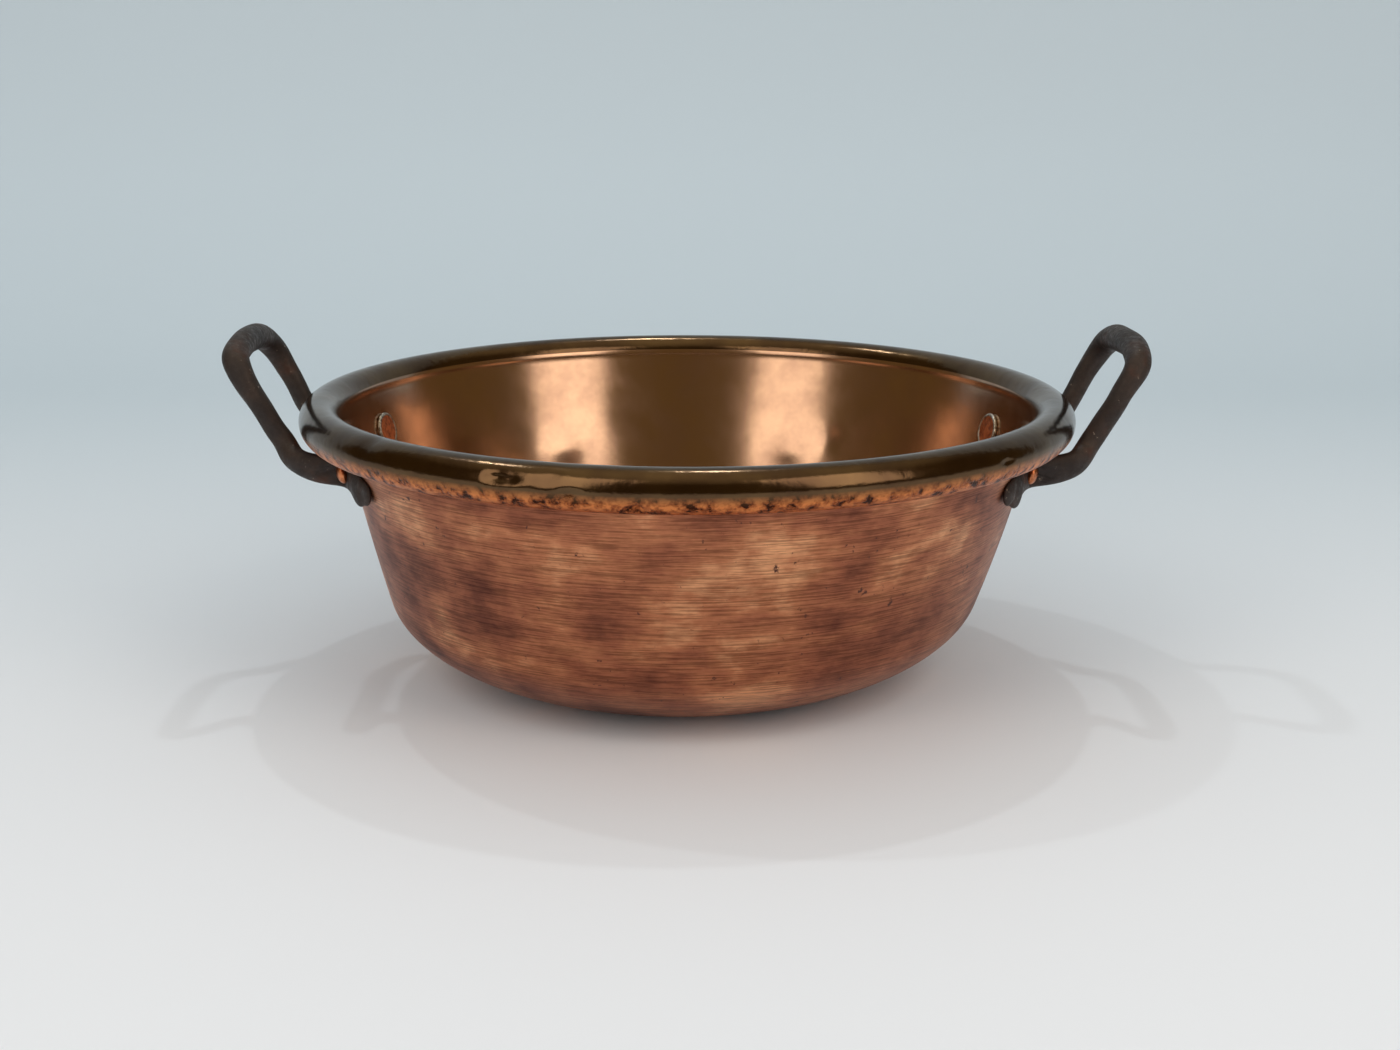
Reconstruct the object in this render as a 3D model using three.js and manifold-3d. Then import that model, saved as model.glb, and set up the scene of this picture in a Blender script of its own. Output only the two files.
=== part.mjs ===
// Two-handled copper pot: a sheet-copper pan with a rolled rim over an iron ring,
// and two forged iron handles, each foot held by one copper rivet.
// Millimetres, +Z up, floor of the pan on z = 0, handles along X.
import * as THREE from 'three';
import { mergeVertices } from 'three/addons/utils/BufferGeometryUtils.js';
import Module from 'manifold-3d';

const wasm = await Module();
wasm.setup();

// Pan
const rimRadius = 245;
const rollRadius = 12.75;
const rollHeight = 167;
const sheet = 1.6;
const floorRadius = 112;
const kneeRadius = 190;
const kneeHeight = 50;
const wallBulge = 1.6;
const knuckleFlat = 0.45;
const knuckleLift = 7.1;
const knuckleLead = 25;
const curlEnd = THREE.MathUtils.degToRad(-148);

// How finely the round shapes are cut
const aroundPan = 84;
const curlSteps = 18;
const curlBackSteps = 12;
const knuckleSteps = 7;
const wallSteps = 4;
const aroundRivet = 28;
const domeSteps = 6;
const aroundBar = 16;
const stepsPerStation = 4;

// Iron ring inside the roll
const ringRadius = 5;

// Rivets
const rivetAngle = THREE.MathUtils.degToRad(17);
const rivetDrop = 14.25;
const rivetHeight = rollHeight - rollRadius - rivetDrop;
const shankRadius = 4;
const insideHeadRadius = 10.5;
const insideHeadHeight = 1.8;
const outsideHeadRadius = 6.2;
const outsideHeadHeight = 3.6;
const footThickness = 6;
const headRoom = 30;

// Handles
const gripReach = 35;
const gripRise = 44;
const gripHeight = rollHeight + gripRise;
const gripRadius = 8.2;
const barRadius = 6.7;
const loopHalfWidth = 51;
const footWidth = 20;
const footTipAngle = THREE.MathUtils.degToRad(27);
const footTipDrop = 6;
const footTipHeight = rivetHeight - footTipDrop;
const lobeBack = THREE.MathUtils.degToRad(3.24);
const footTuck = 1;
const footSwell = 0.8;
const loopSplay = 14;
const bendSpread = 4;
const bendDrop = 2;
const bendRise = 3;
const gripSag = 5.7;
// Half widths of the foot, as shares of footWidth, from its tip to its root
const footShape = { tip: 0.36, lobe: 0.52, rivet: 0.47, root: 0.48 };

// Clearance between pieces that touch
const gap = 0.3;

const copper = { color: 0xa8603c, roughness: 0.35, metalness: 1 };
const rivetCopper = { color: 0xb8693f, roughness: 0.4, metalness: 1 };
const iron = { color: 0x2e2723, roughness: 0.55, metalness: 1 };

const rollCentre = new THREE.Vector2(rimRadius - rollRadius, rollHeight);
const wallTop = new THREE.Vector2(rollCentre.x - rollRadius + sheet, rollHeight);
const knee = new THREE.Vector2(kneeRadius, kneeHeight);
const wallRun = wallTop.clone().sub(knee);

// A closed mesh in the form that the booleans take, and back again.
function toSolid(geometry) {
  const bare = geometry.clone();
  bare.deleteAttribute('normal');
  bare.deleteAttribute('uv');
  const merged = mergeVertices(bare, 1e-4);
  const vertProperties = new Float32Array(merged.attributes.position.array);
  const triVerts = new Uint32Array(merged.index.array);
  return new wasm.Manifold(new wasm.Mesh({ numProp: 3, vertProperties, triVerts }));
}

function toGeometry(solid) {
  const mesh = solid.getMesh();
  const geometry = new THREE.BufferGeometry();
  geometry.setAttribute('position', new THREE.BufferAttribute(mesh.vertProperties, 3));
  geometry.setIndex(new THREE.BufferAttribute(mesh.triVerts, 1));
  geometry.computeVertexNormals();
  return geometry;
}

// A body of revolution about Z from points of radius and height.
function turned(points) {
  const geometry = new THREE.LatheGeometry(points, aroundPan);
  geometry.rotateX(Math.PI / 2);
  return geometry;
}

// The outside of the wall: a rounded knuckle above the flat floor, then a slightly
// bulging taper up to the roll.
const wallMiddle = knee.clone().addScaledVector(wallRun, 0.5);
const wallAcross = new THREE.Vector2(wallRun.y, -wallRun.x).normalize();
const wallCurve = new THREE.QuadraticBezierCurve(
  knee,
  wallMiddle.addScaledVector(wallAcross, 2 * wallBulge),
  wallTop,
);
const kneeLead = wallCurve.getTangent(0).multiplyScalar(knuckleLead);
const knuckleCurve = new THREE.CubicBezierCurve(
  new THREE.Vector2(floorRadius, 0),
  new THREE.Vector2(THREE.MathUtils.lerp(floorRadius, kneeRadius, knuckleFlat), knuckleLift),
  knee.clone().sub(kneeLead),
  knee,
);

function outsideWall() {
  return [...knuckleCurve.getPoints(knuckleSteps), ...wallCurve.getPoints(wallSteps).slice(1)];
}

// Moves a line of points sideways: positive distances go to the right of its run.
function offset(points, distance) {
  return points.map((point, i) => {
    const before = points[Math.max(i - 1, 0)];
    const after = points[Math.min(i + 1, points.length - 1)];
    const run = after.clone().sub(before).normalize();
    return point.clone().add(new THREE.Vector2(run.y, -run.x).multiplyScalar(distance));
  });
}

function arc(centre, radius, from, to, steps) {
  return Array.from({ length: steps + 1 }, (_, i) => {
    const angle = THREE.MathUtils.lerp(from, to, i / steps);
    return new THREE.Vector2(
      centre.x + radius * Math.cos(angle),
      centre.y + radius * Math.sin(angle),
    );
  });
}

// Radius of the outer face at a height on the taper, and its outward normal there.
function wallAt(height) {
  let low = 0;
  let high = 1;
  while (high - low > 1e-9) {
    const middle = (low + high) / 2;
    if (wallCurve.getPoint(middle).y < height) low = middle;
    else high = middle;
  }
  const run = wallCurve.getTangent(low);
  return { radius: wallCurve.getPoint(low).x, out: new THREE.Vector2(run.y, -run.x) };
}

// One sheet from the floor up the wall, over the roll and under, to its free edge.
function panSolid() {
  const outside = outsideWall();
  const inside = offset(outside, -sheet);
  inside[0].set(floorRadius, sheet);
  inside[inside.length - 1].set(rollCentre.x - rollRadius, rollHeight);
  const curl = arc(rollCentre, rollRadius, Math.PI, curlEnd, curlSteps);
  const curlBack = arc(rollCentre, rollRadius - sheet, curlEnd, Math.PI, curlBackSteps);
  const profile = [
    new THREE.Vector2(0, 0),
    ...outside.slice(0, -1),
    ...curlBack.reverse(),
    ...curl.reverse(),
    ...inside.slice(0, -1).reverse(),
    new THREE.Vector2(0, sheet),
  ];
  return toSolid(turned(profile));
}

// The space that the pan takes up, grown by the clearance, to bed the feet against.
function panEnvelope() {
  const outside = offset(outsideWall(), gap);
  const profile = [
    new THREE.Vector2(0, 0),
    ...outside.slice(0, -1),
    ...arc(rollCentre, rollRadius + gap, curlEnd, Math.PI / 2, curlSteps),
    new THREE.Vector2(0, rollHeight + rollRadius + gap),
  ];
  return toSolid(turned(profile));
}

const up = new THREE.Vector3(0, 1, 0);

// The rivet's place on the wall: side is 1 to the right and -1 to the left,
// end is 1 at the back and -1 at the front.
function rivetPlace(side, end) {
  const wall = wallAt(rivetHeight);
  const around = new THREE.Vector2(side * Math.cos(rivetAngle), end * Math.sin(rivetAngle));
  const point = new THREE.Vector3(
    around.x * wall.radius,
    around.y * wall.radius,
    rivetHeight,
  );
  const out = new THREE.Vector3(around.x * wall.out.x, around.y * wall.out.x, wall.out.y);
  return { point, out, turn: new THREE.Quaternion().setFromUnitVectors(up, out) };
}

// A body of revolution along the rivet's line, from distances outside the wall.
function alongRivet(place, points) {
  const geometry = new THREE.LatheGeometry(points, aroundRivet);
  geometry.applyQuaternion(place.turn);
  geometry.translate(place.point.x, place.point.y, place.point.z);
  return geometry;
}

function cylinderPoints(radius, from, to) {
  return [
    new THREE.Vector2(0, from),
    new THREE.Vector2(radius, from),
    new THREE.Vector2(radius, to),
    new THREE.Vector2(0, to),
  ];
}

// A large flat head lies on the curved inner wall and a domed one on the foot.
function rivetGeometry(place) {
  const wallSag = insideHeadRadius ** 2 / (2 * wallTop.x);
  const insideSeat = -sheet - gap - wallSag;
  const insideFace = insideSeat - insideHeadHeight;
  const outsideSeat = footThickness + gap;
  const dome = Array.from({ length: domeSteps }, (_, i) => {
    const angle = (i / domeSteps) * (Math.PI / 2);
    return new THREE.Vector2(
      outsideHeadRadius * Math.cos(angle),
      outsideSeat + outsideHeadHeight * Math.sin(angle),
    );
  });
  const bevel = insideHeadHeight / 2;
  const points = [
    new THREE.Vector2(0, insideFace),
    new THREE.Vector2(insideHeadRadius - bevel, insideFace),
    new THREE.Vector2(insideHeadRadius, insideFace + bevel),
    new THREE.Vector2(insideHeadRadius, insideSeat),
    new THREE.Vector2(shankRadius, insideSeat),
    new THREE.Vector2(shankRadius, outsideSeat),
    ...dome,
    new THREE.Vector2(0, outsideSeat + outsideHeadHeight),
  ];
  return alongRivet(place, points);
}

function rivetHole(place) {
  const reach = outsideHeadRadius + footThickness + rollRadius;
  return toSolid(alongRivet(place, cylinderPoints(shankRadius + gap, -reach, reach)));
}

// Room for the domed head where it sinks into the thick of the foot.
function headSeat(place) {
  const points = cylinderPoints(outsideHeadRadius + gap, footThickness, headRoom);
  return toSolid(alongRivet(place, points));
}

// Stations of half a handle from the foot's tip to the middle of the grip: place,
// half thickness away from the wall, and half width across it.
function handleStations() {
  const tipWall = wallAt(footTipHeight);
  const rivetWall = wallAt(rivetHeight);
  const polar = (radius, angle, height) => new THREE.Vector3(
    radius * Math.cos(angle),
    radius * Math.sin(angle),
    height,
  );
  const footHalf = footThickness / 2;
  const gripX = rimRadius + gripReach;
  const kneeX = rimRadius + barRadius;
  const station = (at, thick, wide) => ({ at, thick, wide });
  const rollTop = rollHeight + rollRadius;
  const rollUnder = rollHeight - rollRadius;
  return [
    station(
      polar(tipWall.radius + footHalf - footTuck, footTipAngle, footTipHeight),
      footHalf * footSwell,
      footWidth * footShape.tip,
    ),
    station(
      polar(tipWall.radius + footHalf, footTipAngle - lobeBack, footTipHeight),
      footHalf,
      footWidth * footShape.lobe,
    ),
    station(
      polar(rivetWall.radius + footHalf, rivetAngle, rivetHeight - bendDrop),
      footHalf + footSwell,
      footWidth * footShape.rivet,
    ),
    station(
      new THREE.Vector3(
        rimRadius - barRadius,
        loopHalfWidth + bendSpread,
        rivetHeight + bendRise,
      ),
      barRadius,
      footWidth * footShape.root,
    ),
    station(
      new THREE.Vector3(kneeX, loopHalfWidth - bendSpread, rollUnder + bendSpread),
      barRadius,
      barRadius,
    ),
    station(
      new THREE.Vector3(kneeX + loopSplay, loopHalfWidth, rollTop + bendSpread),
      barRadius,
      barRadius,
    ),
    station(
      new THREE.Vector3(
        gripX - bendDrop,
        loopHalfWidth - gripRadius,
        gripHeight - gripSag,
      ),
      gripRadius,
      gripRadius,
    ),
    station(new THREE.Vector3(gripX, 0, gripHeight), gripRadius, gripRadius),
  ];
}

// A bar swept along the stations and their mirror image, rounded at both tips.
function handleBar(side) {
  const half = handleStations();
  const mirrored = half.slice(0, -1).reverse().map((station) => ({
    ...station,
    at: station.at.clone().multiply(new THREE.Vector3(1, -1, 1)),
  }));
  const stations = [...half, ...mirrored];
  const path = new THREE.CatmullRomCurve3(stations.map((station) => station.at));
  const steps = (stations.length - 1) * stepsPerStation;
  const rings = [];
  for (let i = 0; i <= steps; i++) {
    const t = i / steps;
    const at = path.getPoint(t);
    const along = path.getTangent(t);
    const out = new THREE.Vector3(at.x, at.y, 0).normalize();
    out.addScaledVector(along, -out.dot(along)).normalize();
    const across = new THREE.Vector3().crossVectors(along, out);
    const place = t * (stations.length - 1);
    const first = Math.min(Math.floor(place), stations.length - 2);
    const share = THREE.MathUtils.smoothstep(place - first, 0, 1);
    const mix = (key) => THREE.MathUtils.lerp(
      stations[first][key],
      stations[first + 1][key],
      share,
    );
    rings.push({ at, along, out, across, thick: mix('thick'), wide: mix('wide') });
  }
  const positions = [];
  const addRing = (ring, scale, shift) => {
    const centre = ring.at.clone().addScaledVector(ring.along, shift);
    for (let j = 0; j < aroundBar; j++) {
      const angle = (j / aroundBar) * 2 * Math.PI;
      const point = centre.clone()
        .addScaledVector(ring.out, scale * ring.thick * Math.cos(angle))
        .addScaledVector(ring.across, scale * ring.wide * Math.sin(angle));
      positions.push(side * point.x, side * point.y, point.z);
    }
  };
  const last = rings[rings.length - 1];
  const caps = [0.9, 0.6, 0.25];
  caps.forEach((a) => addRing(rings[0], Math.sqrt(1 - a * a), -a * rings[0].wide));
  rings.forEach((ring) => addRing(ring, 1, 0));
  caps.slice().reverse().forEach((a) => addRing(last, Math.sqrt(1 - a * a), a * last.wide));
  const count = positions.length / 3 / aroundBar;
  const ends = [rings[0].at.clone().addScaledVector(rings[0].along, -rings[0].wide),
    last.at.clone().addScaledVector(last.along, last.wide)];
  ends.forEach((end) => positions.push(side * end.x, side * end.y, end.z));
  const index = [];
  for (let i = 0; i < count - 1; i++) {
    for (let j = 0; j < aroundBar; j++) {
      const next = (j + 1) % aroundBar;
      const a = i * aroundBar + j;
      const b = i * aroundBar + next;
      index.push(a, b, b + aroundBar, a, b + aroundBar, a + aroundBar);
    }
  }
  const start = count * aroundBar;
  for (let j = 0; j < aroundBar; j++) {
    const next = (j + 1) % aroundBar;
    index.push(start, next, j);
    index.push(start + 1, start - aroundBar + j, start - aroundBar + next);
  }
  const geometry = new THREE.BufferGeometry();
  geometry.setAttribute('position', new THREE.Float32BufferAttribute(positions, 3));
  geometry.setIndex(index);
  return geometry;
}

function addPiece(group, name, geometry, look) {
  const piece = new THREE.Mesh(geometry, new THREE.MeshStandardMaterial(look));
  piece.name = name;
  group.add(piece);
}

const group = new THREE.Group();
group.name = 'two_handled_copper_pot';

const sides = [{ name: 'left', side: -1 }, { name: 'right', side: 1 }];
const ends = [{ name: 'front', end: -1 }, { name: 'back', end: 1 }];
const envelope = panEnvelope();
let pan = panSolid();

for (const { name: sideName, side } of sides) {
  let handle = toSolid(handleBar(side)).subtract(envelope);
  for (const { name: endName, end } of ends) {
    const place = rivetPlace(side, end);
    pan = pan.subtract(rivetHole(place));
    handle = handle.subtract(rivetHole(place)).subtract(headSeat(place));
    addPiece(group, `rivet_${sideName}_${endName}`, rivetGeometry(place), rivetCopper);
  }
  addPiece(group, `handle_${sideName}`, toGeometry(handle), iron);
}
addPiece(group, 'pan_body', toGeometry(pan), copper);

// The iron ring lies in the bottom of the hollow roll.
const ringDrop = rollRadius - sheet - gap - ringRadius;
const ring = new THREE.TorusGeometry(rollCentre.x, ringRadius, 10, 72);
ring.translate(0, 0, rollHeight - ringDrop);
addPiece(group, 'rim_wire', ring, iron);

export default group;
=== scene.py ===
import math
import bpy
import numpy as np
from mathutils import Matrix, Vector


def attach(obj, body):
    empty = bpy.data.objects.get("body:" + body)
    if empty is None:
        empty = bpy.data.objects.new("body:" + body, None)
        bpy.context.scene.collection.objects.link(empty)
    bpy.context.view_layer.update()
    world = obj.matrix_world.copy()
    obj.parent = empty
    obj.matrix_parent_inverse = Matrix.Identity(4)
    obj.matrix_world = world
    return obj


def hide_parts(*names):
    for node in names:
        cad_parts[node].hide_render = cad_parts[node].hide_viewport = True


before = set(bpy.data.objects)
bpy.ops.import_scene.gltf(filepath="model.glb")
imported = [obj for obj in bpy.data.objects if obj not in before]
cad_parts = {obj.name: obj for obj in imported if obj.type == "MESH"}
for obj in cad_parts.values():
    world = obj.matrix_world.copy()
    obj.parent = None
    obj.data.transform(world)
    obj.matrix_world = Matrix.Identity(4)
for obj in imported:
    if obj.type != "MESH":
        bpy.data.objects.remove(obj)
scene = bpy.context.scene
mm = 0.001
print("frame loaded:", len(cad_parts), "nodes")


# Camera at the photograph's place: 1400 x 1050, eye level a little above the rim.
eye = {
    "focalPixels": 1941, "imageWidth": 1400, "sensorMm": 36,
    "distance": 1.227, "height": 0.399,
    "pitch": 14.13, "yaw": 0.38, "roll": 0.15,   # degrees
}


def makeCamera():
    data = bpy.data.cameras.new("eye")
    data.sensor_width = eye["sensorMm"]
    data.lens = eye["focalPixels"] / eye["imageWidth"] * eye["sensorMm"]
    camera = bpy.data.objects.new("eye", data)
    scene.collection.objects.link(camera)
    pitch, yaw, roll = (math.radians(eye[key]) for key in ("pitch", "yaw", "roll"))
    ahead = Vector((
        math.sin(yaw) * math.cos(pitch),
        math.cos(yaw) * math.cos(pitch),
        -math.sin(pitch),
    ))
    side = Vector((math.cos(yaw), -math.sin(yaw), 0))
    above = side.cross(ahead)
    turnedSide = math.cos(roll) * side + math.sin(roll) * above
    turnedAbove = math.cos(roll) * above - math.sin(roll) * side
    place = Matrix((turnedSide, turnedAbove, -ahead)).transposed().to_4x4()
    place.translation = (0, -eye["distance"], eye["height"])
    camera.matrix_world = place
    scene.camera = camera


makeCamera()


# Colours and nodes
def linear(hexColour):
    channels = [int(hexColour[i:i + 2], 16) / 255 for i in (1, 3, 5)]
    return [c / 12.92 if c <= 0.04045 else ((c + 0.055) / 1.055) ** 2.4 for c in channels] + [1]


def addNode(tree, kind, inputs=None, **settings):
    node = tree.nodes.new(kind)
    for key, value in settings.items():
        setattr(node, key, value)
    for key, value in (inputs or {}).items():
        if isinstance(value, bpy.types.NodeSocket):
            tree.links.new(value, node.inputs[key])
        else:
            node.inputs[key].default_value = value
    return node


def stops(ramp, places):
    elements = ramp.color_ramp.elements
    while len(elements) < len(places):
        elements.new(0.5)
    for element, (position, colour) in zip(elements, places):
        element.position = position
        element.color = colour if isinstance(colour, list) else [colour] * 3 + [1]
    return ramp.outputs["Color"]


def startMaterial(name):
    material = bpy.data.materials.new(name)
    material.use_nodes = True
    tree = material.node_tree
    tree.nodes.clear()
    shader = addNode(tree, "ShaderNodeBsdfPrincipled")
    output = addNode(tree, "ShaderNodeOutputMaterial")
    tree.links.new(shader.outputs[0], output.inputs["Surface"])
    return material, tree, shader


def noiseAt(tree, coords, stretch, scale, detail=4, roughness=0.6):
    mapping = addNode(tree, "ShaderNodeMapping", {"Vector": coords, "Scale": stretch})
    noise = addNode(tree, "ShaderNodeTexNoise", {
        "Vector": mapping.outputs[0], "Scale": scale, "Detail": detail, "Roughness": roughness,
    })
    return noise.outputs["Fac"]


def mixColour(tree, factor, first, second, blend="MIX"):
    mix = addNode(tree, "ShaderNodeMix", data_type="RGBA", blend_type=blend)
    for socket, value in ((mix.inputs[0], factor), (mix.inputs[6], first), (mix.inputs[7], second)):
        if isinstance(value, bpy.types.NodeSocket):
            tree.links.new(value, socket)
        else:
            socket.default_value = value
    return mix.outputs[2]


def bumped(tree, height, distance, strength=1.0, under=None):
    inputs = {"Height": height, "Distance": distance, "Strength": strength}
    if under:
        inputs["Normal"] = under
    return addNode(tree, "ShaderNodeBump", inputs).outputs[0]


# Copper that was scoured round and round: a satin red-brown with level scratches,
# purple-brown stains and lighter patches low down.
scouredSizes = {
    "scratchPerM": 1100,     # scratches about 0.9 mm wide, drawn coarser than the real 0.2 mm
    "stainPerM": 16,         # stains of 60 mm
    "fleckPerM": 160,        # flecks of 6 mm
    "scratchDepth": 0.00005,
}


def scouredCopper():
    material, tree, shader = startMaterial("scouredCopper")
    coords = addNode(tree, "ShaderNodeTexCoord").outputs["Object"]
    stain = noiseAt(tree, coords, (1, 1, 1.6), scouredSizes["stainPerM"], 5)
    scratch = noiseAt(tree, coords, (0.03, 0.03, 1), scouredSizes["scratchPerM"], 3, 0.7)
    fleck = noiseAt(tree, coords, (1, 1, 1), scouredSizes["fleckPerM"], 3)
    colour = stops(addNode(tree, "ShaderNodeValToRGB", {"Fac": stain}), [
        (0.33, linear("#7b493a")), (0.46, linear("#a5664c")),
        (0.56, linear("#bf7c59")), (0.68, linear("#e9a97c")),
    ])
    streak = stops(addNode(tree, "ShaderNodeValToRGB", {"Fac": scratch}), [
        (0.40, 0.55), (0.56, 1.0),
    ])
    colour = mixColour(tree, 1.0, colour, streak, "MULTIPLY")
    dark = stops(addNode(tree, "ShaderNodeValToRGB", {"Fac": fleck}), [(0.27, 1.0), (0.33, 0.0)])
    colour = mixColour(tree, dark, colour, linear("#5e4038"))
    tree.links.new(colour, shader.inputs["Base Color"])
    shader.inputs["Metallic"].default_value = 1.0
    gloss = stops(addNode(tree, "ShaderNodeValToRGB", {"Fac": stain}), [(0.3, 0.5), (0.7, 0.36)])
    tree.links.new(gloss, shader.inputs["Roughness"])
    scratched = bumped(tree, scratch, scouredSizes["scratchDepth"], 0.7)
    tree.links.new(scratched, shader.inputs["Normal"])
    return material


# Copper of the rim, worn smooth by hands: brown and glossy above, pitted below.
rimSizes = {"pitPerM": 150, "wavePerM": 30, "pitDepth": 0.0006, "waveDepth": 0.0009}


def wornRimCopper():
    material, tree, shader = startMaterial("wornRimCopper")
    coords = addNode(tree, "ShaderNodeTexCoord").outputs["Object"]
    height = addNode(tree, "ShaderNodeSeparateXYZ", {"Vector": coords}).outputs["Z"]
    low = addNode(tree, "ShaderNodeMapRange", {
        "Value": height, "From Min": 0.1665, "From Max": 0.1605, "To Min": 0.0, "To Max": 1.0,
    }).outputs[0]
    wave = noiseAt(tree, coords, (1, 1, 1), rimSizes["wavePerM"], 3)
    pit = noiseAt(tree, coords, (1, 1, 1), rimSizes["pitPerM"], 4, 0.65)
    smooth = stops(addNode(tree, "ShaderNodeValToRGB", {"Fac": wave}), [
        (0.35, linear("#54402f")), (0.65, linear("#665038")),
    ])
    rough = stops(addNode(tree, "ShaderNodeValToRGB", {"Fac": pit}), [
        (0.38, linear("#3a1c0e")), (0.45, linear("#9c5530")), (0.60, linear("#de8a50")),
    ])
    tree.links.new(mixColour(tree, low, smooth, rough), shader.inputs["Base Color"])
    shader.inputs["Metallic"].default_value = 1.0
    gloss = addNode(tree, "ShaderNodeMapRange", {
        "Value": low, "To Min": 0.17, "To Max": 0.38,
    }).outputs[0]
    tree.links.new(gloss, shader.inputs["Roughness"])
    pitted = stops(addNode(tree, "ShaderNodeValToRGB", {"Fac": pit}), [(0.36, 0.0), (0.5, 1.0)])
    strength = addNode(tree, "ShaderNodeMapRange", {
        "Value": low, "To Min": 0.06, "To Max": 0.6,
    }).outputs[0]
    waved = bumped(tree, wave, rimSizes["waveDepth"], 0.6)
    worn = bumped(tree, pitted, rimSizes["pitDepth"], strength, waved)
    tree.links.new(worn, shader.inputs["Normal"])
    return material


# Copper burnished by stirring: dark, glossy, with soft hammer waves and fine level marks.
insideSizes = {"wavePerM": 22, "markPerM": 900, "waveDepth": 0.0004, "markDepth": 0.00002}


def burnishedCopper():
    material, tree, shader = startMaterial("burnishedCopper")
    coords = addNode(tree, "ShaderNodeTexCoord").outputs["Object"]
    wave = noiseAt(tree, coords, (1, 1, 1), insideSizes["wavePerM"], 3)
    mark = noiseAt(tree, coords, (0.03, 0.03, 1), insideSizes["markPerM"], 3, 0.7)
    tarnish = noiseAt(tree, coords, (1, 1, 1), insideSizes["wavePerM"] * 2, 5)
    colour = stops(addNode(tree, "ShaderNodeValToRGB", {"Fac": tarnish}), [
        (0.35, linear("#b3917a")), (0.65, linear("#bf9d82")),
    ])
    tree.links.new(colour, shader.inputs["Base Color"])
    shader.inputs["Metallic"].default_value = 1.0
    gloss = stops(addNode(tree, "ShaderNodeValToRGB", {"Fac": tarnish}), [
        (0.35, 0.22), (0.65, 0.16),
    ])
    tree.links.new(gloss, shader.inputs["Roughness"])
    waved = bumped(tree, wave, insideSizes["waveDepth"], 0.5)
    marked = bumped(tree, mark, insideSizes["markDepth"], 0.4, waved)
    tree.links.new(marked, shader.inputs["Normal"])
    return material


# Forged iron bar: brown-black scale with rust, rubbed shiny in specks.
ironSizes = {"scalePerM": 260, "rustPerM": 40, "scaleDepth": 0.0005}


def forgedIron():
    material, tree, shader = startMaterial("forgedIron")
    coords = addNode(tree, "ShaderNodeTexCoord").outputs["Object"]
    scale = noiseAt(tree, coords, (1, 1, 1), ironSizes["scalePerM"], 5, 0.65)
    rust = noiseAt(tree, coords, (1, 1, 1), ironSizes["rustPerM"], 4)
    colour = stops(addNode(tree, "ShaderNodeValToRGB", {"Fac": rust}), [
        (0.38, linear("#332b28")), (0.55, linear("#3c302a")), (0.7, linear("#4e3226")),
    ])
    speck = stops(addNode(tree, "ShaderNodeValToRGB", {"Fac": scale}), [(0.66, 0.0), (0.74, 1.0)])
    colour = mixColour(tree, speck, colour, linear("#a3917f"))
    tree.links.new(colour, shader.inputs["Base Color"])
    shader.inputs["Metallic"].default_value = 0.5
    gloss = stops(addNode(tree, "ShaderNodeValToRGB", {"Fac": scale}), [(0.4, 0.68), (0.68, 0.42)])
    tree.links.new(gloss, shader.inputs["Roughness"])
    tree.links.new(bumped(tree, scale, ironSizes["scaleDepth"], 0.7), shader.inputs["Normal"])
    return material


# Rivet copper: hammered bright and orange, dull in the hollows.
rivetFinish = {"blowPerM": 300, "blowDepth": 0.0006}


def hammeredCopper():
    material, tree, shader = startMaterial("hammeredCopper")
    coords = addNode(tree, "ShaderNodeTexCoord").outputs["Object"]
    blow = noiseAt(tree, coords, (1, 1, 1), rivetFinish["blowPerM"], 3)
    colour = stops(addNode(tree, "ShaderNodeValToRGB", {"Fac": blow}), [
        (0.35, linear("#9a5c40")), (0.6, linear("#d98a5e")),
    ])
    tree.links.new(colour, shader.inputs["Base Color"])
    shader.inputs["Metallic"].default_value = 1.0
    shader.inputs["Roughness"].default_value = 0.3
    struck = bumped(tree, blow, rivetFinish["blowDepth"], 0.6)
    tree.links.new(struck, shader.inputs["Normal"])
    return material


# A silvery, lumpy bead round the inside heads, painted as the highlight along the heads' edges.
edgeHighlightFinish = {"lumpPerM": 420, "lumpDepth": 0.0008}


def silverEdgeHighlight():
    material, tree, shader = startMaterial("silverEdgeHighlight")
    coords = addNode(tree, "ShaderNodeTexCoord").outputs["Object"]
    lump = noiseAt(tree, coords, (1, 1, 1), edgeHighlightFinish["lumpPerM"], 3)
    colour = stops(addNode(tree, "ShaderNodeValToRGB", {"Fac": lump}), [
        (0.35, linear("#6f665c")), (0.6, linear("#cfc9bd")),
    ])
    tree.links.new(colour, shader.inputs["Base Color"])
    shader.inputs["Metallic"].default_value = 1.0
    shader.inputs["Roughness"].default_value = 0.3
    lumpyBead = bumped(tree, lump, edgeHighlightFinish["lumpDepth"], 0.9)
    tree.links.new(lumpyBead, shader.inputs["Normal"])
    return material


finishes = {
    "edgeHighlight": silverEdgeHighlight(),
    "outside": scouredCopper(), "rim": wornRimCopper(), "inside": burnishedCopper(),
    "iron": forgedIron(), "rivet": hammeredCopper(),
}
print("materials made:", len(finishes))


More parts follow.
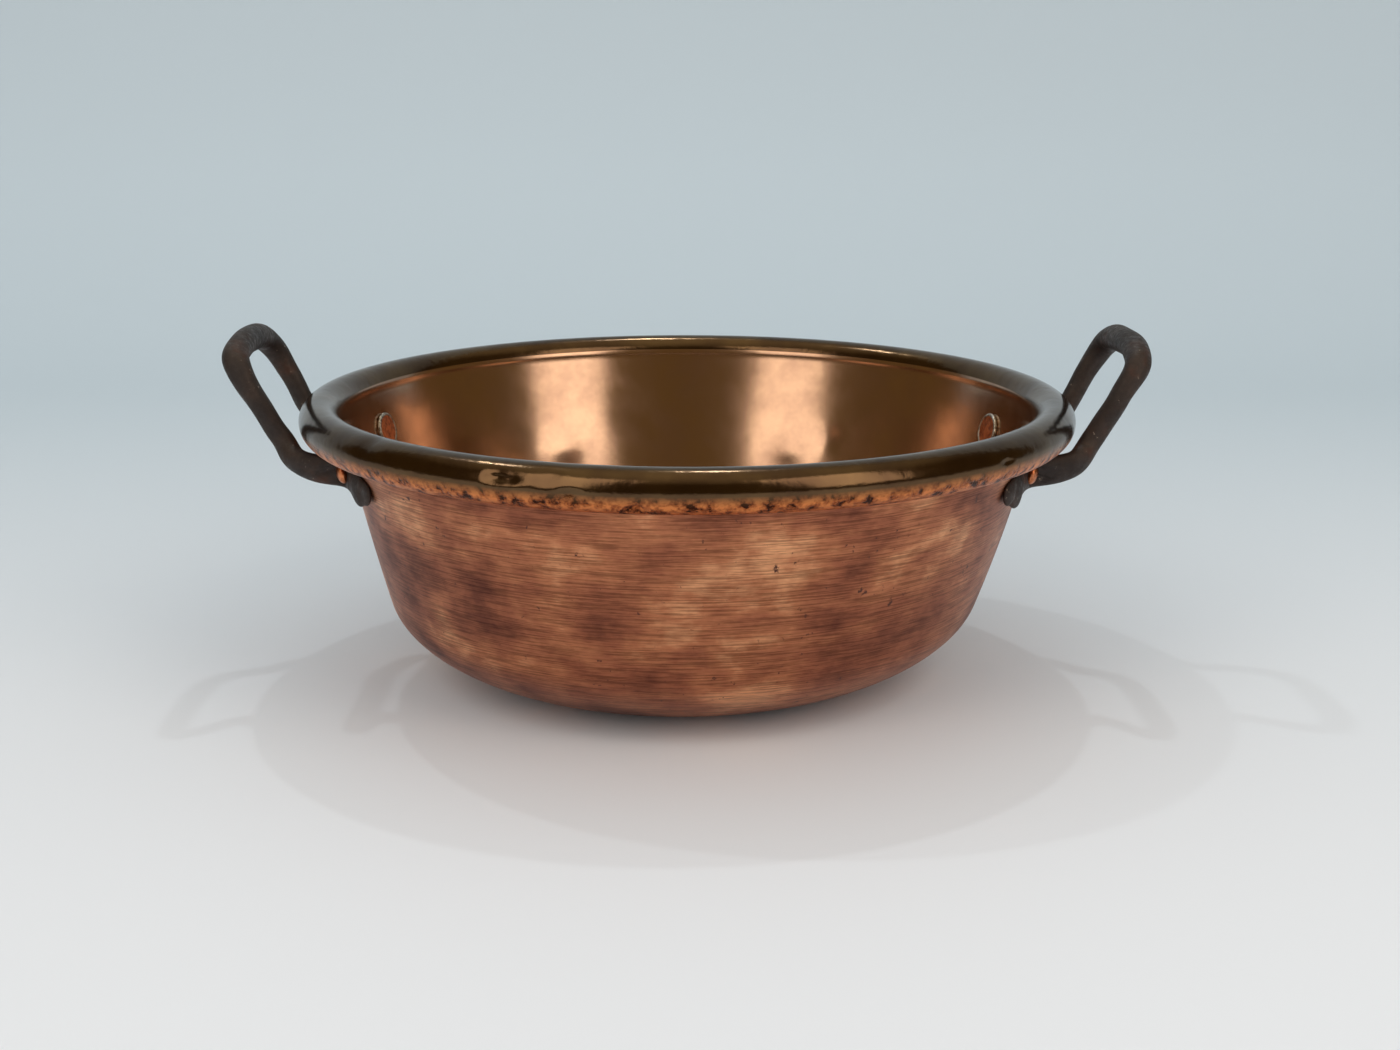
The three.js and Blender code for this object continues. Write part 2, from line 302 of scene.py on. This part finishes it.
# The pan's section in metres, as radius and height
pan = {
    "rimRadius": 0.245, "rollRadius": 0.01275, "rollHeight": 0.167, "sheet": 0.0016,
    "floorRadius": 0.112, "kneeRadius": 0.190, "kneeHeight": 0.050, "wallBulge": 0.0016,
    "curlEnd": -148, "around": 344,
    "knuckleFlat": 0.45, "knuckleLift": 1 / 7, "knuckleLead": 1 / 2,   # shares
    "wallPoints": 40, "knucklePoints": 26, "floorPoints": 9, "backPoints": 46,
    "curlPoints": 90,
    "innerCurl": 6,        # curl points that already belong to the inner wall
    "floorHole": 0.012,    # radius where the floor's last ring closes on its middle
    "lean": 0.0045,        # the bottom sits this far to the left of the rim
    "leanTop": 0.12, "leanCurve": 1.3,
    "waver": 0.0004,       # handmade out-of-round
    "waverFrom": 0.02, "waverRise": 0.10, "waverTo": 0.11, "waverFall": 0.04,
    "dentsFrom": 0.150, "dentsFull": 0.006, "dentEdge": 1.4,
}
rollCentre = np.array([pan["rimRadius"] - pan["rollRadius"], pan["rollHeight"]])
wallTop = np.array([rollCentre[0] - pan["rollRadius"] + pan["sheet"], pan["rollHeight"]])
knee = np.array([pan["kneeRadius"], pan["kneeHeight"]])


def bezier(points, count):
    degree = len(points) - 1
    t = np.linspace(0, 1, count)[:, None]
    return sum(
        math.comb(degree, i) * t ** i * (1 - t) ** (degree - i) * np.asarray(point, float)
        for i, point in enumerate(points)
    )


def wallLine(count=pan["wallPoints"]):
    run = knee - wallTop
    across = np.array([-run[1], run[0]]) / np.linalg.norm(run)
    middle = (knee + wallTop) / 2 + across * 2 * pan["wallBulge"]
    return bezier([knee, middle, wallTop], count), middle


def outsideLine():
    wall, middle = wallLine()
    lead = (middle - knee) / np.linalg.norm(middle - knee)
    lead *= pan["kneeHeight"] * pan["knuckleLead"]
    first = np.array([pan["floorRadius"], 0])
    second = np.array([
        pan["floorRadius"] + pan["knuckleFlat"] * (pan["kneeRadius"] - pan["floorRadius"]),
        pan["kneeHeight"] * pan["knuckleLift"],
    ])
    knuckle = bezier([first, second, knee - lead, knee], pan["knucklePoints"])
    return np.vstack([knuckle, wall[1:]])


def inwards(line, distance):
    run = np.gradient(line, axis=0)
    run /= np.linalg.norm(run, axis=1)[:, None]
    return line + np.stack([-run[:, 1], run[:, 0]], 1) * distance


def arc(radius, start, end, count):
    angle = np.radians(np.linspace(start, end, count))
    return rollCentre + radius * np.stack([np.cos(angle), np.sin(angle)], 1)


# Dents in the roll: angle round from the front, angle on the roll from its outside
# up, reach and depth in mm. And dents in the wall: angle from the back, height.
rollDents = [
    {"around": -24.8, "turn": 24, "reach": 3.6, "depth": 3.4},
    {"around": -22.6, "turn": 22, "reach": 3.0, "depth": 2.8},
    {"around": -14.9, "turn": -4, "reach": 3.0, "depth": 2.6},
    {"around": -6.6, "turn": -42, "reach": 3.8, "depth": 4.0},
    {"around": -17.5, "turn": 30, "reach": 7.0, "depth": 0.9},
    {"around": -2.0, "turn": -30, "reach": 4.0, "depth": 1.0},
    {"around": 8.0, "turn": -35, "reach": 3.0, "depth": 1.1},
    {"around": 47.0, "turn": 8, "reach": 2.4, "depth": 1.4},
    {"around": -48.0, "turn": 60, "reach": 9.0, "depth": 0.8},
    {"around": 150.0, "turn": 20, "reach": 5.0, "depth": 1.0},
    {"around": 205.0, "turn": -10, "reach": 4.0, "depth": 1.2},
]
wallDents = [
    {"around": -26, "height": 0.104, "reach": 13, "depth": 1.5},
    {"around": 22, "height": 0.103, "reach": 14, "depth": 1.7},
    {"around": 30, "height": 0.110, "reach": 9, "depth": -0.9},
    {"around": -10, "height": 0.128, "reach": 18, "depth": 0.5},
]


def panPoints(line, around):
    radius = line[:, 0][:, None]
    height = line[:, 1][:, None]
    turn = around[None, :]
    fromRoll = np.hypot(radius - rollCentre[0], height - rollCentre[1])
    onRoll = np.clip((height - pan["dentsFrom"]) / pan["dentsFull"], 0, 1)
    onRoll = onRoll * np.clip(fromRoll / pan["rollRadius"], 0, 1)
    rollAngle = np.degrees(np.arctan2(height - rollCentre[1], radius - rollCentre[0]))
    grow = np.zeros(np.broadcast(radius, turn).shape)
    front = np.degrees(turn + math.pi / 2)
    for dent in rollDents:
        roundAway = (front - dent["around"] + 180) % 360 - 180
        along = np.radians(roundAway) * pan["rimRadius"]
        over = np.radians((rollAngle - dent["turn"] + 180) % 360 - 180) * pan["rollRadius"]
        reach = dent["reach"] * mm
        away = (along ** 2 + over ** 2) / reach ** 2
        grow += dent["depth"] * mm * np.exp(-away * pan["dentEdge"]) * onRoll
    inner = radius - grow * np.cos(np.radians(rollAngle))
    lifted = height - grow * np.sin(np.radians(rollAngle))
    back = np.degrees(turn - math.pi / 2)
    for dent in wallDents:
        roundAway = (dent["around"] + back + 180) % 360 - 180
        away = (np.radians(roundAway) * radius) ** 2 + (height - dent["height"]) ** 2
        inner = inner - dent["depth"] * mm * np.exp(-away / (dent["reach"] * mm) ** 2)
    waverIn = np.clip((height - pan["waverFrom"]) / pan["waverRise"], 0, 1)
    waverOut = 1 - np.clip((height - pan["waverTo"]) / pan["waverFall"], 0, 1)
    waves = np.sin(3 * turn + 0.6) + 0.7 * np.sin(7 * turn + 2.1)
    inner = inner + pan["waver"] * (waverIn * waverOut) * waves
    lean = pan["lean"] * np.clip(1 - height / pan["leanTop"], 0, 1) ** pan["leanCurve"]
    return np.stack([
        inner * np.cos(turn) - lean,
        inner * np.sin(turn),
        np.broadcast_to(lifted, inner.shape),
    ], -1)


def meshFrom(name, points, faces, slots=(), slotOf=None):
    mesh = bpy.data.meshes.new(name)
    mesh.from_pydata([tuple(p) for p in points], [], faces)
    for material in slots:
        mesh.materials.append(material)
    if slotOf is not None:
        mesh.polygons.foreach_set("material_index", slotOf)
    mesh.polygons.foreach_set("use_smooth", [True] * len(mesh.polygons))
    mesh.update()
    piece = bpy.data.objects.new(name, mesh)
    scene.collection.objects.link(piece)
    return piece


def makePan():
    outside = outsideLine()
    inside = inwards(outside, pan["sheet"])
    inside[0] = (pan["floorRadius"], pan["sheet"])
    floorRings = np.linspace(pan["floorHole"], pan["floorRadius"], pan["floorPoints"])[:-1]
    floorOut = np.stack([floorRings, np.zeros(len(floorRings))], 1)
    floorIn = floorOut + [0, pan["sheet"]]
    back = arc(pan["rollRadius"] - pan["sheet"], 180, pan["curlEnd"], pan["backPoints"])
    curl = arc(pan["rollRadius"], pan["curlEnd"], 180, pan["curlPoints"])
    line = np.vstack([
        floorOut, outside[:-1], back, curl, inside[:-1][::-1], floorIn[::-1],
    ])
    rimStart = len(floorOut) + len(outside) - 1 + len(back)
    rimEnd = rimStart + len(curl) - pan["innerCurl"]
    count = pan["around"]
    around = np.arange(count) * 2 * math.pi / count
    points = panPoints(line, around).reshape(-1, 3)
    rows = len(line)
    faces = []
    slotOf = []
    for i in range(rows - 1):
        slot = 0 if i < rimStart - 1 else 1 if i < rimEnd else 2
        for j in range(count):
            k = (j + 1) % count
            faces.append((i * count + j, i * count + k, (i + 1) * count + k, (i + 1) * count + j))
            slotOf.append(slot)
    poles = np.array([[-pan["lean"], 0, 0], [-pan["lean"], 0, pan["sheet"]]])
    for j in range(count):
        k = (j + 1) % count
        faces.append((k, j, rows * count))
        slotOf.append(0)
        last = (rows - 1) * count
        faces.append((last + j, last + k, rows * count + 1))
        slotOf.append(2)
    piece = meshFrom(
        "copperPan", np.vstack([points, poles]), faces,
        (finishes["outside"], finishes["rim"], finishes["inside"]), slotOf,
    )
    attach(piece, "root")
    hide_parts("pan_body")


makePan()
print("pan made")


# Handles: stations of half a bar from the foot's tip to the middle of the grip.
handle = {
    "gripReach": 0.035, "gripHeight": 0.211, "gripRadius": 0.0082, "barRadius": 0.0067,
    "halfWidth": 0.051, "footWidth": 0.020, "footThickness": 0.006,
    "tipAngle": 27, "tipHeight": 0.134, "gap": 0.0003,
    "around": 40, "stepsPerStation": 16, "forging": 0.00035, "capRings": 8,
    "bendSpread": 0.004, "bendDrop": 0.002, "bendRise": 0.003,
    "loopSplay": 0.014, "footTuck": 0.001, "footSwell": 0.0008,
    "tipThick": 0.8, "lobeBack": 0.88, "cornerIn": 0.84, "gripSag": 0.7,   # shares
    "footShape": {"tip": 0.36, "lobe": 0.52, "rivet": 0.47, "root": 0.48},
}
rivet = {
    "angle": 17, "height": 0.140, "insideRadius": 0.0105, "insideHeight": 0.0018,
    "domeRadius": 0.0062, "domeHeight": 0.0036, "shank": 0.004,
    "beadRadius": 0.0013,
    "wallSag": 0.00025,       # the flat head stands off the curved wall by this
    "edgeWidth": 0.0006,
}
wallPoints = wallLine(200)[0]


def wallRadius(height):
    return np.interp(height, wallPoints[:, 1], wallPoints[:, 0])


def rivetPlace(side, end):
    angle = math.radians(rivet["angle"])
    slope = np.gradient(wallPoints, axis=0)
    rise = np.interp(rivet["height"], wallPoints[:, 1], slope[:, 0] / slope[:, 1])
    outRadial, outUp = Vector((1, -rise)).normalized()
    around = Vector((side * math.cos(angle), end * math.sin(angle), 0))
    point = around * float(wallRadius(rivet["height"])) + Vector((0, 0, rivet["height"]))
    return point, around * outRadial + Vector((0, 0, outUp))


def polar(radius, degrees, height):
    angle = math.radians(degrees)
    return [float(radius) * math.cos(angle), float(radius) * math.sin(angle), height]


def handleStations():
    foot = handle["footThickness"] / 2
    wide = handle["footWidth"]
    bar = handle["barRadius"]
    grip = handle["gripRadius"]
    kneeX = pan["rimRadius"] + bar
    gripX = pan["rimRadius"] + handle["gripReach"]
    tip = wallRadius(handle["tipHeight"])
    atRivet = wallRadius(rivet["height"])
    tipHeight = handle["tipHeight"]
    half = handle["halfWidth"]
    shape = handle["footShape"]
    spread = handle["bendSpread"]
    lobe = handle["tipAngle"] * handle["lobeBack"]
    bedded = rivet["height"] - handle["bendDrop"]
    risen = rivet["height"] + handle["bendRise"]
    low = pan["rollHeight"] - pan["rollRadius"] + spread
    high = pan["rollHeight"] + pan["rollRadius"] + spread
    corner = handle["gripHeight"] - grip * handle["gripSag"]
    return [
        (
            polar(tip + foot - handle["footTuck"], handle["tipAngle"], tipHeight),
            foot * handle["tipThick"], wide * shape["tip"],
        ),
        (polar(tip + foot, lobe, tipHeight), foot, wide * shape["lobe"]),
        (
            polar(atRivet + foot, rivet["angle"], bedded),
            foot + handle["footSwell"], wide * shape["rivet"],
        ),
        ([pan["rimRadius"] - bar, half + spread, risen], bar, wide * shape["root"]),
        ([kneeX, half - spread, low], bar, bar),
        ([kneeX + handle["loopSplay"], half, high], bar, bar),
        ([gripX - handle["bendDrop"], half * handle["cornerIn"], corner], grip, grip),
        ([gripX, 0, handle["gripHeight"]], grip, grip),
    ]


def throughStations(values, steps):
    ends = np.vstack([2 * values[0] - values[1], values, 2 * values[-1] - values[-2]])
    rows = []
    for i in range(1, len(ends) - 2):
        a, b, c, d = ends[i - 1:i + 3]
        for t in np.arange(steps) / steps:
            rows.append(0.5 * (
                2 * b + (c - a) * t + (2 * a - 5 * b + 4 * c - d) * t ** 2
                + (3 * b - a - 3 * c + d) * t ** 3
            ))
    rows.append(ends[-2])
    return np.array(rows)


# The foot beds against the wall and stays clear of the roll and the rivet's head.
def bedFoot(points, side):
    gap = handle["gap"]
    away = np.hypot(points[:, 0], points[:, 1])
    least = wallRadius(np.clip(points[:, 2], pan["kneeHeight"], pan["rollHeight"])) + gap
    low = points[:, 2] < pan["rollHeight"]
    push = np.where(low & (away < least), least / away, 1)
    points[:, :2] *= push[:, None]
    away *= push
    fromRoll = np.stack([away - rollCentre[0], points[:, 2] - rollCentre[1]], 1)
    reach = np.linalg.norm(fromRoll, axis=1)
    grow = np.where(reach < pan["rollRadius"] + gap, (pan["rollRadius"] + gap) / reach, 1)
    moved = rollCentre + fromRoll * grow[:, None]
    points[:, :2] *= (moved[:, 0] / away)[:, None]
    points[:, 2] = moved[:, 1]
    for end in (-1, 1):
        place, out = rivetPlace(side, end)
        offset = points - np.array(place)
        height = offset @ np.array(out)
        sideways = np.linalg.norm(offset - height[:, None] * np.array(out), axis=1)
        over = (sideways < rivet["domeRadius"] + gap) & (height > handle["footThickness"])
        points -= np.where(over, height - handle["footThickness"], 0)[:, None] * np.array(out)
    return points


def makeHandle(name, node, side):
    half = handleStations()
    mirrored = [([x, -y, z], thick, wide) for (x, y, z), thick, wide in half[:-1][::-1]]
    values = np.array([[*at, thick, wide] for at, thick, wide in half + mirrored])
    rows = throughStations(values, handle["stepsPerStation"])
    along = np.gradient(rows[:, :3], axis=0)
    along /= np.linalg.norm(along, axis=1)[:, None]
    out = rows[:, :3] * [1, 1, 0]
    out -= (out * along).sum(1)[:, None] * along
    out /= np.linalg.norm(out, axis=1)[:, None]
    across = np.cross(along, out)
    count = handle["around"]
    angle = np.arange(count) * 2 * math.pi / count
    caps = np.sin(np.linspace(0, math.pi / 2, handle["capRings"] + 1)[:-1])
    rings = []

    def addRing(i, scale, shift):
        centre = rows[i, :3] + along[i] * shift
        place = i / len(rows)
        rough = handle["forging"] * (
            np.sin(2 * angle + 37 * place + side) + np.sin(3 * angle - 61 * place)
            + np.sin(angle + 95 * place + 2 * side)
        ) * 0.5
        thick = scale * (rows[i, 3] + rough)
        wide = scale * (rows[i, 4] + rough)
        rings.append(
            centre + np.cos(angle)[:, None] * thick[:, None] * out[i]
            + np.sin(angle)[:, None] * wide[:, None] * across[i]
        )

    for a in caps[::-1]:
        addRing(0, math.sqrt(1 - a * a), -a * rows[0, 4])
    for i in range(1, len(rows) - 1):
        addRing(i, 1, 0)
    for a in caps:
        addRing(len(rows) - 1, math.sqrt(1 - a * a), a * rows[-1, 4])
    tips = [rows[0, :3] - along[0] * rows[0, 4], rows[-1, :3] + along[-1] * rows[-1, 4]]
    points = np.vstack([np.vstack(rings), tips])
    points[:, :2] *= side
    points = bedFoot(points, side)
    faces = []
    for i in range(len(rings) - 1):
        for j in range(count):
            k = (j + 1) % count
            faces.append((i * count + j, i * count + k, (i + 1) * count + k, (i + 1) * count + j))
    first = len(rings) * count
    last = (len(rings) - 1) * count
    for j in range(count):
        k = (j + 1) % count
        faces.append((first, k, j))
        faces.append((first + 1, last + j, last + k))
    piece = meshFrom(name, points, faces, (finishes["iron"],))
    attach(piece, "root")
    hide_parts(node)


makeHandle("ironHandleLeft", "handle_left", -1)
makeHandle("ironHandleRight", "handle_right", 1)
print("handles made")


# Rivets: one tree sets a flat head inside, a shank and a domed head on each point.
def rivetTree():
    tree = bpy.data.node_groups.new("rivetsOnPoints", "GeometryNodeTree")
    face = tree.interface
    face.new_socket("Geometry", in_out="INPUT", socket_type="NodeSocketGeometry")
    sizes = {
        "insideRadius": rivet["insideRadius"], "insideHeight": rivet["insideHeight"],
        "domeRadius": rivet["domeRadius"], "domeHeight": rivet["domeHeight"],
        "shankRadius": rivet["shank"], "beadRadius": rivet["beadRadius"],
        "insideSeat": -pan["sheet"] - handle["gap"] - rivet["wallSag"],
        "outsideSeat": handle["footThickness"] + handle["gap"],
    }
    for name, value in sizes.items():
        socket = face.new_socket(name, in_out="INPUT", socket_type="NodeSocketFloat")
        socket.default_value = value
    face.new_socket("Geometry", in_out="OUTPUT", socket_type="NodeSocketGeometry")
    start = addNode(tree, "NodeGroupInput").outputs

    def sums(operation, a, b):
        return addNode(tree, "ShaderNodeMath", {0: a, 1: b}, operation=operation).outputs[0]

    def onLine(height):
        return addNode(tree, "ShaderNodeCombineXYZ", {"Z": height}).outputs[0]

    head = addNode(tree, "GeometryNodeMeshCylinder", {
        "Vertices": 64, "Radius": start["insideRadius"], "Depth": start["insideHeight"],
    }).outputs["Mesh"]
    halfHead = sums("MULTIPLY", start["insideHeight"], 0.5)
    head = addNode(tree, "GeometryNodeTransform", {
        "Geometry": head, "Translation": onLine(sums("SUBTRACT", start["insideSeat"], halfHead)),
    }).outputs[0]
    dome = addNode(tree, "GeometryNodeMeshUVSphere", {
        "Segments": 48, "Rings": 24, "Radius": start["domeRadius"],
    }).outputs["Mesh"]
    flat = sums("DIVIDE", start["domeHeight"], start["domeRadius"])
    squeeze = addNode(tree, "ShaderNodeCombineXYZ", {"X": 1.0, "Y": 1.0, "Z": flat}).outputs[0]
    dome = addNode(tree, "GeometryNodeTransform", {
        "Geometry": dome, "Translation": onLine(start["outsideSeat"]), "Scale": squeeze,
    }).outputs[0]
    length = sums("SUBTRACT", start["outsideSeat"], start["insideSeat"])
    shank = addNode(tree, "GeometryNodeMeshCylinder", {
        "Vertices": 40, "Radius": start["shankRadius"], "Depth": length,
    }).outputs["Mesh"]
    middle = sums("MULTIPLY", sums("ADD", start["outsideSeat"], start["insideSeat"]), 0.5)
    shank = addNode(tree, "GeometryNodeTransform", {
        "Geometry": shank, "Translation": onLine(middle),
    }).outputs[0]
    rim = addNode(tree, "GeometryNodeCurvePrimitiveCircle", {
        "Resolution": 64, "Radius": start["insideRadius"],
    }).outputs["Curve"]
    bead = addNode(tree, "GeometryNodeCurvePrimitiveCircle", {
        "Resolution": 10, "Radius": start["beadRadius"],
    }).outputs["Curve"]
    ring = addNode(tree, "GeometryNodeCurveToMesh", {
        "Curve": rim, "Profile Curve": bead,
    }).outputs[0]
    ring = addNode(tree, "GeometryNodeTransform", {
        "Geometry": ring, "Translation": onLine(sums("SUBTRACT", start["insideSeat"], halfHead)),
    }).outputs[0]
    ring = addNode(tree, "GeometryNodeStoreNamedAttribute", {
        "Geometry": ring, "Name": "isBead", "Value": True,
    }, data_type="BOOLEAN", domain="FACE").outputs[0]
    joined = addNode(tree, "GeometryNodeJoinGeometry")
    for part in (head, dome, shank, ring):
        tree.links.new(part, joined.inputs[0])
    aim = addNode(tree, "GeometryNodeInputNamedAttribute", {
        "Name": "outward",
    }, data_type="FLOAT_VECTOR")
    turn = addNode(tree, "FunctionNodeAlignRotationToVector", {
        "Vector": aim.outputs["Attribute"],
    }, axis="Z")
    placed = addNode(tree, "GeometryNodeInstanceOnPoints", {
        "Points": start["Geometry"], "Instance": joined.outputs[0], "Rotation": turn.outputs[0],
    }).outputs[0]
    real = addNode(tree, "GeometryNodeRealizeInstances", {"Geometry": placed}).outputs[0]
    done = addNode(tree, "GeometryNodeSetMaterial", {
        "Geometry": real, "Material": finishes["rivet"],
    }).outputs[0]
    isBead = addNode(tree, "GeometryNodeInputNamedAttribute", {
        "Name": "isBead",
    }, data_type="BOOLEAN")
    # The bead ring gets the silvery finish: a painted highlight along the edges of the inside
    # heads.
    done = addNode(tree, "GeometryNodeSetMaterial", {
        "Geometry": done, "Selection": isBead.outputs["Attribute"], "Material": finishes["edgeHighlight"],
    }).outputs[0]
    addNode(tree, "NodeGroupOutput", {"Geometry": done})
    return tree


def makeRivets():
    places = [rivetPlace(side, end) for side in (-1, 1) for end in (-1, 1)]
    seed = meshFrom("rivetPoints", [point for point, out in places], [])
    outward = seed.data.attributes.new("outward", "FLOAT_VECTOR", "POINT")
    outward.data.foreach_set("vector", [c for point, out in places for c in out])
    seed.modifiers.new("rivets", "NODES").node_group = rivetTree()
    graph = bpy.context.evaluated_depsgraph_get()
    mesh = bpy.data.meshes.new_from_object(seed.evaluated_get(graph))
    bpy.data.objects.remove(seed)
    piece = bpy.data.objects.new("copperRivets", mesh)
    scene.collection.objects.link(piece)
    bevel = piece.modifiers.new("edge", "BEVEL")
    bevel.width = rivet["edgeWidth"]
    bevel.segments = 2
    bevel.limit_method = "ANGLE"
    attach(piece, "root")
    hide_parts(*(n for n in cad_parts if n.startswith("rivet_")))


makeRivets()
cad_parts["rim_wire"].data.materials.clear()
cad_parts["rim_wire"].data.materials.append(finishes["iron"])
print("rivets made")


# A pale paper sweep: the floor runs back and curves up, and the back wall is painted a darker
# blue-grey as shade on the farther backdrop.
stage = {
    "halfWidth": 4.0, "front": -3.0, "back": 1.9, "bend": 0.9, "top": 3.2,
    "floorColour": "#e9eaec", "shadedWallColour": "#cbd5da",
    "fadeFrom": -0.5, "fadeTo": 1.2,
}


def paperSweep():
    material, tree, shader = startMaterial("paperSweep")
    coords = addNode(tree, "ShaderNodeTexCoord").outputs["Object"]
    depth = addNode(tree, "ShaderNodeSeparateXYZ", {"Vector": coords}).outputs["Y"]
    fade = addNode(tree, "ShaderNodeMapRange", {
        "Value": depth, "From Min": stage["fadeFrom"], "From Max": stage["fadeTo"],
        "To Min": 0.0, "To Max": 1.0,
    }, interpolation_type="SMOOTHSTEP").outputs[0]
    # Painted shade: the colour darkens from the floor towards the back wall.
    colour = mixColour(tree, fade, linear(stage["floorColour"]), linear(stage["shadedWallColour"]))
    tree.links.new(colour, shader.inputs["Base Color"])
    shader.inputs["Roughness"].default_value = 0.7
    return material


def makeStage():
    bend = stage["bend"]
    angle = np.linspace(0, math.pi / 2, 25)
    line = [(stage["front"], 0)]
    line += [(stage["back"] - bend + bend * math.sin(a), bend - bend * math.cos(a)) for a in angle]
    line += [(stage["back"], stage["top"])]
    points = [(x * stage["halfWidth"], y, z) for y, z in line for x in (-1, 1)]
    faces = [(2 * i, 2 * i + 1, 2 * i + 3, 2 * i + 2) for i in range(len(line) - 1)]
    meshFrom("paper", points, faces, (paperSweep(),))


makeStage()


# Two tall soft boxes beside the camera, and two small lamps high up behind the pan.
lamps = [
    {
        "name": "boxLeft", "place": (-1.29, -1.53, 1.40), "size": (1.10, 2.0),
        "watts": 14, "tint": "#fff3e6",
    },
    {
        "name": "boxRight", "place": (1.46, -1.36, 1.40), "size": (1.20, 2.0),
        "watts": 17, "tint": "#fff3e6",
    },
    {
        "name": "highLeft", "place": (-1.87, 1.75, 4.2), "size": (0.12, 0.12),
        "watts": 15, "tint": "#f0faff",
    },
    {
        "name": "highRight", "place": (0.22, 1.95, 4.2), "size": (0.12, 0.12),
        "watts": 15, "tint": "#f0faff",
    },
]
room = {"dark": "#685532", "pale": "#e7dcbc", "dim": 1.0, "fill": 0.68}


def makeLamps():
    for lamp in lamps:
        data = bpy.data.lights.new(lamp["name"], "AREA")
        data.shape = "RECTANGLE"
        data.size, data.size_y = lamp["size"]
        data.energy = lamp["watts"]
        data.color = linear(lamp["tint"])[:3]
        thing = bpy.data.objects.new(lamp["name"], data)
        thing.location = lamp["place"]
        aim = Vector((0, 0, 0.12)) - thing.location
        thing.rotation_euler = aim.to_track_quat("-Z", "Y").to_euler()
        scene.collection.objects.link(thing)
    world = bpy.data.worlds.new("room")
    scene.world = world
    world.use_nodes = True
    tree = world.node_tree
    tree.nodes.clear()
    # The metal mirrors a dim room that is paler overhead; all else gets an even fill.
    up = addNode(tree, "ShaderNodeTexCoord").outputs["Generated"]
    height = addNode(tree, "ShaderNodeSeparateXYZ", {"Vector": up}).outputs["Z"]
    fade = addNode(tree, "ShaderNodeMapRange", {
        "Value": height, "From Min": 0.66, "From Max": 1.0, "To Min": 0.0, "To Max": 1.0,
    }).outputs[0]
    colour = mixColour(tree, fade, linear(room["dark"]), linear(room["pale"]))
    mirrored = addNode(tree, "ShaderNodeBackground", {"Color": colour, "Strength": room["dim"]})
    even = addNode(tree, "ShaderNodeBackground", {
        "Color": linear("#eef3f6"), "Strength": room["fill"],
    })
    glossy = addNode(tree, "ShaderNodeLightPath").outputs["Is Glossy Ray"]
    light = addNode(tree, "ShaderNodeMixShader", {
        0: glossy, 1: even.outputs[0], 2: mirrored.outputs[0],
    })
    addNode(tree, "ShaderNodeOutputWorld", {"Surface": light.outputs[0]})


makeLamps()
scene.view_settings.view_transform = "Standard"
print("stage and lamps made")
